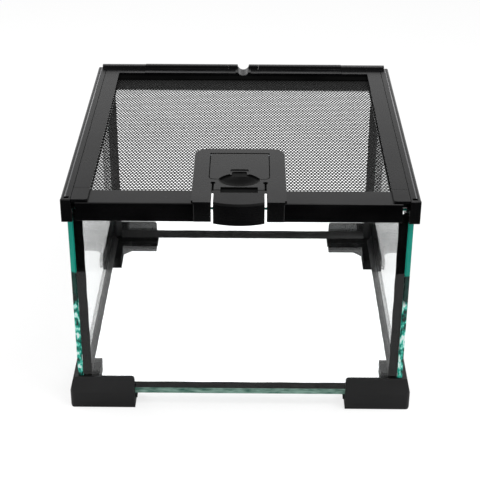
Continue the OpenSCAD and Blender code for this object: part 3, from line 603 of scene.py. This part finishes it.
@dataclass
class GlassBox:
    """Five panes with ground and arrised edges."""

    palette: Palette
    arris: float = 0.5
    face_on: float = 0.9  # faces turned at least this squarely along the thin way are clear, not ground
    panes: tuple[str, ...] = ("base_pane", "front_pane", "rear_pane", "left_pane", "right_pane")

    def build(self) -> None:
        """Builds each pane in place of its CAD node."""
        for node in self.panes:
            self.pane(node)

    def pane(self, node: str) -> Object:
        """Builds one pane: a box with bevelled edges, whose narrow sides are ground.

        Args:
            node: the CAD node that it stands for.

        Returns:
            The piece.
        """
        low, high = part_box(node)
        thin = min(range(3), key=lambda axis: high[axis] - low[axis])
        mesh = bpy.data.meshes.new(f"{node}_glass")
        work = bmesh.new()
        bmesh.ops.create_cube(work, size=1.0)
        for vert in work.verts:
            vert.co = Vector(high[i] if vert.co[i] > 0 else low[i] for i in range(3))
        bmesh.ops.bevel(work, geom=work.edges[:], offset=self.arris * MM, segments=1,
                        affect="EDGES", clamp_overlap=True)
        for face in work.faces:
            face.material_index = 0 if abs(face.normal[thin]) > self.face_on else 1
        bmesh.ops.recalc_face_normals(work, faces=work.faces[:])
        work.to_mesh(mesh)
        work.free()
        obj = new_object(f"{node}_glass", mesh)
        return finish_piece(obj, Body.TANK, "glass", node,
                            materials=(self.palette.glass, self.palette.glass_edge))


@dataclass
class SiliconeBeads:
    """Beads in the corners of the glass, with a hollow face and slightly wavy edges."""

    palette: Palette
    step: float = 3.0
    wave: float = 0.035
    wave_turns: tuple[float, float] = (0.21, 0.13)  # radians for each millimetre of length
    thin_edge: float = 0.5
    hollow: float = 0.133  # how deep the face is hollowed, as a share of the bead's lesser reach
    arc_points: int = 7
    crease_deg: float = 40.0

    def build(self) -> None:
        """Builds the four upright and the four base beads."""
        for across in ("left", "right"):
            for along in ("front", "rear"):
                self.bead(f"{along}_{across}_seal", 2, across == "left", along == "front")
        for side in ("front", "rear"):
            self.bead(f"{side}_base_seal", 0, side == "front", True)
        for side in ("left", "right"):
            self.bead(f"{side}_base_seal", 1, side == "left", True)

    def profile(self, wide: float, high: float) -> list[tuple[float, float]]:
        """Gives the section of a bead in a corner at the origin.

        Args:
            wide: reach along the first axis.
            high: reach along the second axis.

        Returns:
            Points round the section, from the corner.
        """
        points = [(0.0, 0.0), (wide, 0.0)]
        edge = self.thin_edge
        for i in range(self.arc_points + 1):
            t = i / self.arc_points
            sag = 4 * t * (1 - t) * self.hollow * min(wide, high)
            points.append((wide + (edge - wide) * t - sag, edge + (high - edge) * t - sag))
        points.append((0.0, high))
        return points

    def reach(self, turn: float) -> float:
        """Gives how much of its full reach a bead has, at a turn in radians of its wavy edge."""
        return 1 - self.wave * (0.5 + 0.5 * math.sin(turn))

    def bead(self, node: str, axis: int, low_first: bool, low_second: bool) -> Object:
        """Sweeps a bead along one axis in place of its CAD node.

        Args:
            node: the CAD node that it stands for.
            axis: the axis that it runs along.
            low_first: whether its corner lies at the low end of the first other axis.
            low_second: the same for the second other axis.

        Returns:
            The piece.
        """
        low, high = (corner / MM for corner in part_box(node))
        first, second = [i for i in range(3) if i != axis]
        own = len(node)  # sets the waves of beads with other names off at other points
        count = max(2, round((high[axis] - low[axis]) / self.step))
        rings = []
        for k in range(count + 1):
            s = low[axis] + (high[axis] - low[axis]) * k / count
            wide = (high[first] - low[first]) * self.reach(s * self.wave_turns[0] + first * 2 + own)
            tall = (high[second] - low[second]) * self.reach(s * self.wave_turns[1] + second + own * 0.7)
            ring = []
            for a, b in self.profile(wide, tall):
                point = [0.0, 0.0, 0.0]
                point[axis] = s
                point[first] = low[first] + a if low_first else high[first] - a
                point[second] = low[second] + b if low_second else high[second] - b
                ring.append(point)
            rings.append(ring)
        obj = new_object(f"{node}_bead", skin(f"{node}_bead", rings))
        smooth(obj, self.crease_deg)
        return finish_piece(obj, Body.TANK, "silicone", node, materials=(self.palette.silicone,))


# ---- plastic ----


@dataclass(frozen=True)
class Moulding:
    """One plastic node, with the edge radius that its tool gives it.

    The finish is the palette's entry of that name, or else the slot's. Upright faces inside
    the painted shade box get the painted shade finish, and so do faces that look up from below
    its floor. A ledge reach trims a bar to stay that far off the middle of the tank.
    """

    node: str
    body: Body
    slot: str
    radius: float = 0.25
    segments: int = 2
    finish: str = ""
    painted_shade_box: Box | None = None
    painted_shade_floor: float = 209.75
    ledge_reach: float = 0.0


def rim_box(sign: int, near: float, far: float, front: float) -> Box:
    """Gives the box round the grooves on top of one side of the frame, where the grooves take painted
    shade.

    Args:
        sign: the sign of X on that side.
        near: how far off the middle it starts.
        far: how far off the middle it ends.
        front: its front end.

    Returns:
        Its low and high corners.
    """
    low, high = sorted((sign * near, sign * far))
    return (low, front, 205.0), (high, 153.0, 209.95)


# The sides of the rear feet that face into the tank, which take painted shade so that they show black
# through the glass
INSIDE_REAR_FEET: Box = ((-147.5, 90.0, -1.0), (147.5, 151.2, 60.0))


@dataclass
class Mouldings:
    """The plastic pieces, copied from the CAD nodes with their sharp edges softened.

    Points closer than the weld become one, and faces that bend by less than flat_deg become
    one face. An edge is softened where it bends by more than crease_deg. A face is upright
    while its normal has less Z than the field of that name.
    """

    palette: Palette
    crease_deg: float = 26.0
    flat_deg: float = 0.5
    weld: float = 0.002
    upright: float = 0.3
    # Shade boxes give painted shade to the grooves of the rails and covers, the inner sides of the rear
    # feet, the latch's slits, grooves, notch and finger dish, and the tongue's front chamfer
    pieces: tuple[Moulding, ...] = (
        *(Moulding(f"front_{side}_foot", Body.TANK, "foot_plastic", 0.5) for side, _ in SIDES),
        *(Moulding(f"rear_{side}_foot", Body.TANK, "foot_plastic", 0.5, painted_shade_box=INSIDE_REAR_FEET)
          for side, _ in SIDES),
        *(Moulding(f"{side}_rail", Body.TANK, "frame_plastic", 0.2,
                   painted_shade_box=rim_box(sign, 140.5, 147.2, -145.0)) for side, sign in SIDES),
        Moulding("rear_rail", Body.TANK, "frame_plastic", 0.2, finish="latch_plastic"),
        *(Moulding(f"{side}_rail_cap", Body.TANK, "frame_plastic") for side, _ in SIDES),
        *(Moulding(f"{side}_channel_cover", Body.TANK, "frame_plastic", 0.3,
                   painted_shade_box=rim_box(sign, 139.0, 146.0, -150.0)) for side, sign in SIDES),
        *(Moulding(f"{side}_rear_strip", Body.TANK, "frame_plastic") for side, _ in SIDES),
        Moulding("cable_inlet", Body.TANK, "frame_plastic"),
        Moulding("lid_front_bar", Body.LID, "lid_plastic", 0.3),
        # Painted shade on the rear bar: no shine
        Moulding("lid_rear_bar", Body.LID, "lid_plastic", finish="rear_bar_painted_shade"),
        Moulding("lid_left_bar", Body.LID, "lid_plastic", 0.2, ledge_reach=126.8),
        Moulding("lid_right_bar", Body.LID, "lid_plastic", 0.2, ledge_reach=126.4),
        Moulding("lid_corner_keys", Body.LID, "lid_plastic", 0.2),
        Moulding("latch_housing", Body.LID, "latch_plastic",
                 painted_shade_box=((-31.5, -131.0, 203.0), (28.7, -50.0, 209.75))),
        Moulding("latch_backing", Body.LID, "latch_plastic", 0.2),
        Moulding("feed_hatch", Body.HATCH, "latch_plastic", 0.2,
                 painted_shade_box=((-12.0, -100.0, 203.0), (9.0, -88.0, 209.6)), painted_shade_floor=208.95),
        Moulding("latch_tongue", Body.TONGUE, "latch_plastic", finish="tongue_plastic",
                 painted_shade_box=((-24.0, -158.0, 206.0), (21.0, -127.0, 209.75))),
    )

    def build(self) -> None:
        """Builds every moulding."""
        for piece in self.pieces:
            self.moulding(piece)

    def moulding(self, piece: Moulding) -> Object:
        """Copies a CAD node, merges its triangles into faces and softens its edges.

        Args:
            piece: the node and its edge radius.

        Returns:
            The piece.
        """
        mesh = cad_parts[piece.node].data.copy()
        mesh.name = f"{piece.node}_moulding"
        mesh.materials.clear()
        work = bmesh.new()
        work.from_mesh(mesh)
        bmesh.ops.remove_doubles(work, verts=work.verts[:], dist=self.weld * MM)
        for vert in work.verts:
            vert.co.x = math.copysign(max(abs(vert.co.x), piece.ledge_reach * MM), vert.co.x)
        bmesh.ops.dissolve_limit(work, angle_limit=math.radians(self.flat_deg), verts=work.verts[:],
                                 edges=work.edges[:], use_dissolve_boundaries=False)
        finishes = [getattr(self.palette, piece.finish or piece.slot)]
        if piece.painted_shade_box:
            # Faces in the box take the near-black painted shade finish
            finishes.append(self.palette.painted_shade_plastic)
            for face in work.faces:
                face.material_index = int(self.takes_painted_shade(face, piece))
        work.to_mesh(mesh)
        work.free()
        obj = new_object(f"{piece.node}_moulding", mesh)
        self.soften(obj, piece)
        return finish_piece(obj, piece.body, piece.slot, piece.node, materials=finishes)

    def takes_painted_shade(self, face: bmesh.types.BMFace, piece: Moulding) -> bool:
        """Tells whether a face takes painted shade, as a wall or the floor of a piece's recess or another
        face in its shade box.
        """
        middle = face.calc_center_median() / MM
        inside = all(low < at < high for low, at, high in zip(piece.painted_shade_box[0], middle, piece.painted_shade_box[1]))
        sunk = face.normal.z > 0 and middle.z < piece.painted_shade_floor
        return inside and (abs(face.normal.z) < self.upright or sunk)

    def soften(self, obj: Object, piece: Moulding) -> None:
        """Rounds the sharp edges of a moulding and shades it, keeping its flat faces flat.

        Args:
            obj: the object, whose mesh is replaced.
            piece: the edge radius and its segments.
        """
        bevel = obj.modifiers.new("soft edges", "BEVEL")
        bevel.width = piece.radius * MM
        bevel.segments = piece.segments
        bevel.limit_method = "ANGLE"
        bevel.angle_limit = math.radians(self.crease_deg)
        bevel.use_clamp_overlap = True
        weigh = obj.modifiers.new("flat faces stay flat", "WEIGHTED_NORMAL")
        weigh.mode = "FACE_AREA"
        weigh.weight = 100
        weigh.keep_sharp = True
        for polygon in obj.data.polygons:
            polygon.use_smooth = True
        apply_modifiers(obj)


@dataclass
class RailHighlightBeads:
    """The grey bead that lies in the groove along the top of each side rail: a painted highlight, whose
    pale grey stands for the thin line of light that the rail's top reflects.
    """

    palette: Palette
    across: float = 146.45
    front: float = -143.4
    rear: float = 152.6
    radius: float = 0.55
    level: float = 209.75
    sides: int = 12
    taper: float = 0.4
    end_share: float = 0.5
    crease_deg: float = 50.0

    def build(self) -> None:
        """Builds the left and the right bead."""
        for side, sign in SIDES:
            self.bead(f"{side}_rail_highlight_bead", sign * self.across)

    def bead(self, name: str, x: float) -> Object:
        """Builds one bead: a round bar with chamfered ends.

        Args:
            name: the piece's name.
            x: how far to the right it lies.

        Returns:
            The piece.
        """
        stations = ((self.front, self.end_share), (self.front + self.taper, 1.0),
                    (self.rear - self.taper, 1.0), (self.rear, self.end_share))
        obj = new_object(name, skin(name, [self.ring(x, y, share * self.radius) for y, share in stations]))
        smooth(obj, self.crease_deg)
        return finish_piece(obj, Body.TANK, "frame_plastic", materials=(self.palette.highlight_bead_plastic,))

    def ring(self, x: float, y: float, radius: float) -> list[Corner]:
        """Gives the points of one upright ring round the bead's line."""
        turns = (math.tau * k / self.sides for k in range(self.sides))
        return [(x + radius * math.cos(turn), y, self.level + radius * math.sin(turn)) for turn in turns]


# ---- screen ----


@dataclass
class Screen:
    """The perforated sheet in the lid: staggered round holes, made by geometry nodes.

    The tree repeats one cell of sheet round its hole. It runs twice, for the left and
    the right half, so that neither piece grows too heavy.
    """

    palette: Palette
    pitch: float = 3.05
    hole: tuple[float, float] = (2.12, 2.28)
    hole_sides: int = 8
    gauge: float = 0.25
    margin: float = 0.1
    weld: float = 0.02
    collar_low: tuple[float, float] = (-31.0, -121.5)
    collar_high: tuple[float, float] = (28.2, -51.5)

    def build(self) -> None:
        """Builds both halves in place of the CAD screen."""
        low, high = (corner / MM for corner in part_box("mesh_screen"))
        columns = int((high.x - low.x - 2 * self.margin) / self.pitch - 0.5)
        rows = int((high.y - low.y - 2 * self.margin) / self.pitch)
        spare_x = high.x - low.x - (columns + 0.5) * self.pitch
        spare_y = high.y - low.y - rows * self.pitch
        first = Vector((low.x + (spare_x + self.pitch) / 2, low.y + (spare_y + self.pitch) / 2,
                        (low.z + high.z) / 2))
        left = columns // 2
        self.half("screen_left", first, left, rows)
        self.half("screen_right", first + Vector((left * self.pitch, 0, 0)), columns - left, rows)

    def cell(self, name: str) -> Mesh:
        """Builds one cell: a square of sheet round a hole, open where the next cell joins.

        Args:
            name: the mesh's name.

        Returns:
            The mesh, centred on the origin.
        """
        half, sides = self.pitch / 2, self.hole_sides
        outer, inner = [], []
        # The square is drawn with a corner at each second turn, so that cells join side to side
        for k in range(sides):
            turn = math.tau * k / sides
            reach = half / max(abs(math.cos(turn)), abs(math.sin(turn)))
            outer.append((reach * math.cos(turn), reach * math.sin(turn)))
            inner.append((self.hole[0] / 2 * math.cos(turn), self.hole[1] / 2 * math.sin(turn)))
        levels = (self.gauge / 2, -self.gauge / 2)
        points = [(x, y, z) for z in levels for x, y in outer + inner]
        faces = []
        lower = 2 * sides
        for k in range(sides):
            n = (k + 1) % sides
            faces.append((k, n, sides + n, sides + k))
            faces.append((lower + n, lower + k, lower + sides + k, lower + sides + n))
            faces.append((sides + k, sides + n, lower + sides + n, lower + sides + k))
        return mesh_of(name, points, faces)

    def half(self, name: str, first: Vector, columns: int, rows: int) -> Object:
        """Repeats the cell over one half of the screen.

        Args:
            name: the piece's name.
            first: the centre of its first cell.
            columns: cells from left to right.
            rows: cells from front to back.

        Returns:
            The piece, as a plain mesh.
        """
        obj = new_object(name, self.cell(name))
        tree = self.tree()
        modifier = obj.modifiers.new("perforations", "NODES")
        modifier.node_group = tree
        middle = [(low + high) / 2 * MM for low, high in zip(self.collar_low, self.collar_high)]
        reach = [(high - low) / 2 * MM for low, high in zip(self.collar_low, self.collar_high)]
        values = {
            "First Cell": first * MM, "Pitch": self.pitch * MM, "Columns": columns, "Rows": rows,
            "Collar Middle": (*middle, 0.0), "Collar Reach": (*reach, 0.0),
            "Material": self.palette.screen,
        }
        for item in tree.interface.items_tree:
            if item.item_type == "SOCKET" and item.in_out == "INPUT" and item.name in values:
                modifier[item.identifier] = values[item.name]
        apply_modifiers(obj)
        return finish_piece(obj, Body.LID, "mesh_metal", "mesh_screen")

    def tree(self) -> Tree:
        """Builds the tree that repeats a cell in staggered rows, and leaves the collar free."""
        tree = bpy.data.node_groups.new("staggered_perforations", "GeometryNodeTree")
        sockets = (
            ("Cell", "NodeSocketGeometry"), ("First Cell", "NodeSocketVector"),
            ("Pitch", "NodeSocketFloat"), ("Columns", "NodeSocketInt"), ("Rows", "NodeSocketInt"),
            ("Collar Middle", "NodeSocketVector"), ("Collar Reach", "NodeSocketVector"),
            ("Material", "NodeSocketMaterial"),
        )
        for label, kind in sockets:
            tree.interface.new_socket(label, in_out="INPUT", socket_type=kind)
        tree.interface.new_socket("Screen", in_out="OUTPUT", socket_type="NodeSocketGeometry")
        given = add_node(tree, "NodeGroupInput").outputs
        wide = self.length(tree, given["Pitch"], given["Columns"])
        deep = self.length(tree, given["Pitch"], given["Rows"])
        grid = add_node(tree, "GeometryNodeMeshGrid", {
            "Size X": wide, "Size Y": deep, "Vertices X": given["Columns"], "Vertices Y": given["Rows"],
        })
        # From the middle of the grid to its far corner
        corner = add_node(tree, "ShaderNodeCombineXYZ", {
            "X": maths(tree, "MULTIPLY", wide, 0.5), "Y": maths(tree, "MULTIPLY", deep, 0.5),
        }).outputs["Vector"]
        start = vector_maths(tree, "ADD", corner, given["First Cell"])
        offset = vector_maths(tree, "ADD", start, self.stagger(tree, corner, given["Pitch"]))
        centres = add_node(tree, "GeometryNodeSetPosition",
                           {"Geometry": grid.outputs["Mesh"], "Offset": offset})
        copies = add_node(tree, "GeometryNodeInstanceOnPoints", {
            "Points": centres.outputs["Geometry"], "Instance": given["Cell"],
            "Selection": self.off_collar(tree, given["Collar Middle"], given["Collar Reach"]),
        })
        real = add_node(tree, "GeometryNodeRealizeInstances", {"Geometry": copies.outputs["Instances"]})
        joined = add_node(tree, "GeometryNodeMergeByDistance",
                          {"Geometry": real.outputs["Geometry"], "Distance": self.weld * MM})
        dressed = add_node(tree, "GeometryNodeSetMaterial",
                           {"Geometry": joined.outputs["Geometry"], "Material": given["Material"]})
        add_node(tree, "NodeGroupOutput", {"Screen": dressed.outputs["Geometry"]})
        return tree

    def length(self, tree: Tree, pitch: Socket, count: Socket) -> Socket:
        """Gives the length of a row of points from the first to the last."""
        return maths(tree, "MULTIPLY", pitch, maths(tree, "SUBTRACT", count, 1))

    def stagger(self, tree: Tree, corner: Socket, pitch: Socket) -> Socket:
        """Gives the shift of each row: a quarter pitch, left and right by turns.

        Args:
            tree: the tree.
            corner: the vector from the middle of the grid to its far corner.
            pitch: the distance between two rows.

        Returns:
            The shift, as a vector along X.
        """
        place = add_node(tree, "GeometryNodeInputPosition").outputs["Position"]
        across = split(tree, vector_maths(tree, "ADD", place, corner))["Y"]
        row = maths(tree, "ROUND", maths(tree, "DIVIDE", across, pitch))
        odd = maths(tree, "FLOORED_MODULO", row, 2.0)
        step = maths(tree, "MULTIPLY", odd, maths(tree, "MULTIPLY", pitch, 0.5))
        shift = maths(tree, "SUBTRACT", step, maths(tree, "MULTIPLY", pitch, 0.25))
        return add_node(tree, "ShaderNodeCombineXYZ", {"X": shift}).outputs["Vector"]

    def off_collar(self, tree: Tree, middle: Socket, reach: Socket) -> Socket:
        """Tells whether a point lies outside the collar of the latch, which passes the screen."""
        place = add_node(tree, "GeometryNodeInputPosition").outputs["Position"]
        away = vector_maths(tree, "ABSOLUTE", vector_maths(tree, "SUBTRACT", place, middle))
        gap = split(tree, vector_maths(tree, "SUBTRACT", away, reach))
        return maths(tree, "GREATER_THAN", maths(tree, "MAXIMUM", gap["X"], gap["Y"]), 0.0)


# ---- metal ----


@dataclass
class Hardware:
    """The screws and the hinge pin, which keep their CAD shape."""

    palette: Palette
    nodes: tuple[str, ...] = ("latch_screws", "hatch_pin")

    def build(self) -> None:
        """Gives each node its metal."""
        for node in self.nodes:
            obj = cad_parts[node]
            obj.data.materials.clear()
            obj.data.materials.append(self.palette.steel)
            log.info("%s keeps its CAD shape", node)


# ---- studio ----


@dataclass
class PhotoCamera:
    """The camera at the photograph's viewing angle, for a square frame of 480 pixels.

    Its angles are in radians: down from level, to the right, and anticlockwise.
    """

    place: Corner = (7.526, -1087.205, 686.198)
    pitch: float = 0.50087
    yaw: float = -0.0084
    roll: float = 0.00276
    focal_pixels: float = 1269.825
    frame_pixels: float = 480.0
    sensor: float = 36.0

    def build(self) -> Object:
        """Builds the camera and makes it the scene's."""
        data = bpy.data.cameras.new("camera")
        data.sensor_width = self.sensor
        data.lens = self.sensor * self.focal_pixels / self.frame_pixels
        data.clip_end = 50.0
        data.dof.use_dof = False
        obj = new_object("camera", data)
        level = math.cos(self.pitch)
        ahead = Vector((math.sin(self.yaw) * level, math.cos(self.yaw) * level, -math.sin(self.pitch)))
        flat = Vector((math.cos(self.yaw), -math.sin(self.yaw), 0))
        up = flat.cross(ahead)
        right = math.cos(self.roll) * flat + math.sin(self.roll) * up
        above = -math.sin(self.roll) * flat + math.cos(self.roll) * up
        turn = Matrix((right, above, -ahead)).transposed()
        obj.matrix_world = Matrix.Translation(Vector(self.place) * MM) @ turn.to_4x4()
        bpy.context.scene.camera = obj
        return obj


@dataclass(frozen=True)
class SoftBox:
    """A rectangular lamp: where it hangs, what it faces, its width and height, and its watts."""

    name: str
    place: Corner
    target: Corner
    size: tuple[float, float]
    watts: float

    def build(self) -> Object:
        """Hangs the lamp and turns it to its target."""
        data = bpy.data.lights.new(self.name, "AREA")
        data.shape = "RECTANGLE"
        data.size, data.size_y = (side * MM for side in self.size)
        data.energy = self.watts
        obj = new_object(self.name, data)
        place = Vector(self.place)
        aim = (Vector(self.target) - place).to_track_quat("-Z", "Y")
        obj.matrix_world = Matrix.Translation(place * MM) @ aim.to_matrix().to_4x4()
        return obj


@dataclass
class Studio:
    """A pale floor, a white room and soft lamps, set so that colours render as written.

    The seen shade with the floor and the inner light makes the floor white to the camera,
    straight and through glass. The sweep and the gloss levels are what a glossy face
    mirrors. The sweep's heights are the sines of the angles between which it fades.
    """

    floor_size: float = 12000.0
    floor_drop: float = 0.15
    sheet_shade: str = "#e6e6e6"
    seen_shade: str = "#898989"
    floor_light: float = 0.77
    inner_light: float = 1.4
    sweep_front: float = -384.0
    sheet_dim: float = 0.45
    dark_shade: str = "#101010"
    room_light: float = 0.5
    sweep_gloss: float = 1.5
    room_gloss: float = 0.64
    sweep_heights: tuple[float, float] = (0.12, 0.48)
    lamps: tuple[SoftBox, ...] = (
        SoftBox("key_lamp", (520, -260, 1250), (0, 0, 100), (900, 700), 13.0),
        SoftBox("side_lamp", (-900, 150, 900), (0, 0, 120), (700, 900), 7.0),
    )

    def build(self) -> None:
        """Builds the floor, the room and the lamps."""
        self.floor()
        self.room()
        for lamp in self.lamps:
            lamp.build()
        bpy.context.scene.view_settings.view_transform = "Standard"

    def shown(self, tree: Tree, path: Outputs) -> Socket:
        """Gives 1 for what the camera sees, straight or through glass."""
        return maths(tree, "MAXIMUM", path["Is Camera Ray"], path["Is Transmission Ray"])

    def mirrored(self, tree: Tree, path: Outputs) -> Socket:
        """Gives 1 for what a glossy surface mirrors, also within a pane."""
        return maths(tree, "GREATER_THAN", path["Glossy Depth"], 0.5)

    def floor(self) -> Object:
        """Builds the floor. It shows white to the camera and through glass, and keeps its shadow.

        Gloss sees it end in a straight line in front of the tank, where the pale sheet
        under the object ends. That leaves the upright front faces dark higher up.

        Returns:
            The floor.
        """
        half = self.floor_size / 2
        corners = ((-half, -half), (half, -half), (half, half), (-half, half))
        mesh = mesh_of("floor", [(x, y, -self.floor_drop) for x, y in corners], [(0, 1, 2, 3)])
        obj = new_object("floor", mesh)
        material, tree = new_material("matt_white_sheet")
        path = add_node(tree, "ShaderNodeLightPath").outputs
        paint = mix_colours(tree, self.shown(tree, path), linear(self.sheet_shade), linear(self.seen_shade))
        matt = add_node(tree, "ShaderNodeBsdfDiffuse", {"Color": paint}).outputs["BSDF"]
        direct = maths(tree, "MULTIPLY", path["Is Camera Ray"], self.floor_light)
        through = maths(tree, "MULTIPLY", path["Is Transmission Ray"], self.inner_light)
        glow = add_node(tree, "ShaderNodeEmission",
                        {"Color": linear(WHITE), "Strength": maths(tree, "ADD", direct, through)})
        sheet = add_node(tree, "ShaderNodeAddShader", {0: matt, 1: glow.outputs["Emission"]})
        past_end = maths(tree, "LESS_THAN", split(tree, place_mm(tree))["Y"], self.sweep_front)
        dimmed = maths(tree, "MULTIPLY", self.mirrored(tree, path),
                       maths(tree, "MAXIMUM", past_end, self.sheet_dim))
        dark = add_node(tree, "ShaderNodeBsdfDiffuse", {"Color": linear(self.dark_shade)})
        mix = add_node(tree, "ShaderNodeMixShader",
                       {0: dimmed, 1: sheet.outputs["Shader"], 2: dark.outputs["BSDF"]})
        add_node(tree, "ShaderNodeOutputMaterial", {"Surface": mix.outputs["Shader"]})
        mesh.materials.append(material)
        return obj

    def room(self) -> None:
        """Builds the world: white behind the object, and a plain level of soft light.

        Gloss sees the white sweep at its brightest low down, and duller towards the ceiling.
        """
        world = bpy.data.worlds.new("white_room")
        world.use_nodes = True
        tree = world.node_tree
        tree.nodes.clear()
        path = add_node(tree, "ShaderNodeLightPath").outputs
        height = split(tree, add_node(tree, "ShaderNodeTexCoord").outputs["Generated"])["Z"]
        sweep = spread(tree, height, self.sweep_heights, (self.sweep_gloss, self.room_gloss))
        plain = maths(tree, "MAXIMUM", self.shown(tree, path), self.room_light)
        level = add_node(tree, "ShaderNodeMix",
                         {"Factor": self.mirrored(tree, path), "A": plain, "B": sweep}).outputs["Result"]
        back = add_node(tree, "ShaderNodeBackground", {"Color": linear(WHITE), "Strength": level})
        add_node(tree, "ShaderNodeOutputWorld", {"Surface": back.outputs["Background"]})
        bpy.context.scene.world = world


def main() -> None:
    """Builds the classes in order and reports each piece."""
    logging.basicConfig(level=logging.INFO, format="%(name)s: %(message)s")
    PhotoCamera().build()
    Studio().build()
    palette = Palette()
    GlassBox(palette).build()
    SiliconeBeads(palette).build()
    Mouldings(palette).build()
    RailHighlightBeads(palette).build()
    Screen(palette).build()
    Hardware(palette).build()


if __name__ == "__main__":
    main()
